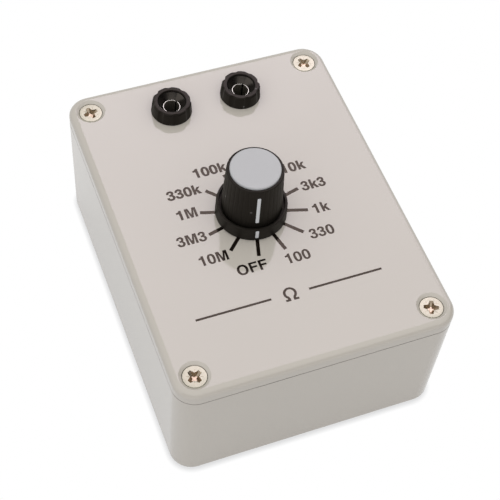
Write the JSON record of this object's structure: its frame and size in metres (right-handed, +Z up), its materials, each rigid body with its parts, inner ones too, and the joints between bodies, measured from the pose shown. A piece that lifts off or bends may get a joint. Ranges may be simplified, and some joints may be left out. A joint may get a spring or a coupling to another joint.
{
  "type": "resistance substitution box",
  "caption": "Moulded box with a screw-down lid, plug sockets and a rotary selector knob that puts a chosen test resistor, or none, across the sockets.",
  "frame": {"origin": "middle of the underside of the case, on the surface it stands on", "axes": "+Z up out of the lid, +Y along the length towards the sockets, +X to the right seen from the front"},
  "size_m": [0.076, 0.1, 0.0596],
  "materials": {
    "case_plastic": "fine moulded texture, light warm grey",
    "black_plastic": "satin black moulding",
    "cap_plastic": "satin light grey moulding",
    "white_inlay": "white filled line",
    "plated_steel": "nickel-plated",
    "plated_brass": "nickel-plated",
    "cast_metal": "as cast",
    "switch_moulding": "brown moulding",
    "steel": "bright",
    "brass": "bright",
    "resistor_lacquer": "lacquered body with colour bands",
    "tinned_wire": "tinned",
    "red_insulation": "insulated wire",
    "grey_insulation": "insulated wire"
  },
  "bodies": {
    "case": {"base_case": "case_plastic", "lid": "case_plastic", "socket_body_left": "black_plastic", "socket_body_right": "black_plastic", "lid_screws": "plated_steel", "socket_nuts": "plated_steel", "bush_washer": "plated_steel", "bush_nut": "plated_steel", "socket_sleeve_left": "plated_brass", "socket_sleeve_right": "plated_brass", "switch_front": "cast_metal", "switch_drum": "switch_moulding", "contact_wafer": "switch_moulding", "stop_ring": "steel", "common_contact": "brass", "contact_pin_0": "brass", "contact_pin_1": "brass", "contact_pin_2": "brass", "contact_pin_3": "brass", "contact_pin_4": "brass", "contact_pin_5": "brass", "contact_pin_6": "brass", "contact_pin_7": "brass", "contact_pin_8": "brass", "contact_pin_9": "brass", "contact_pin_10": "brass", "contact_pin_11": "brass", "resistor_10m": "resistor_lacquer", "resistor_3m3": "resistor_lacquer", "resistor_1m": "resistor_lacquer", "resistor_330k": "resistor_lacquer", "resistor_100k": "resistor_lacquer", "resistor_33k": "resistor_lacquer", "resistor_10k": "resistor_lacquer", "resistor_3k3": "resistor_lacquer", "resistor_1k": "resistor_lacquer", "resistor_330r": "resistor_lacquer", "resistor_100r": "resistor_lacquer", "bus_wire": "tinned_wire", "lead_left": "red_insulation", "lead_right": "grey_insulation"},
    "selector": {"shaft": "steel", "rotor": "switch_moulding", "wiper": "brass", "detent_spring": "steel", "detent_balls": "steel", "collet": "brass", "collet_nut": "brass", "knob_body": "black_plastic", "knob_skirt": "black_plastic", "knob_cap": "cap_plastic", "pointer_line": "white_inlay", "pointer_tick": "white_inlay"}
  },
  "joints": [
    {"name": "selector_turn", "type": "hinge", "parent": "case", "child": "selector", "pos_m": [-0.00165, -0.00185, 0.041], "axis": [0, 0, 1], "range_deg": [-330, 0]}
  ]
}
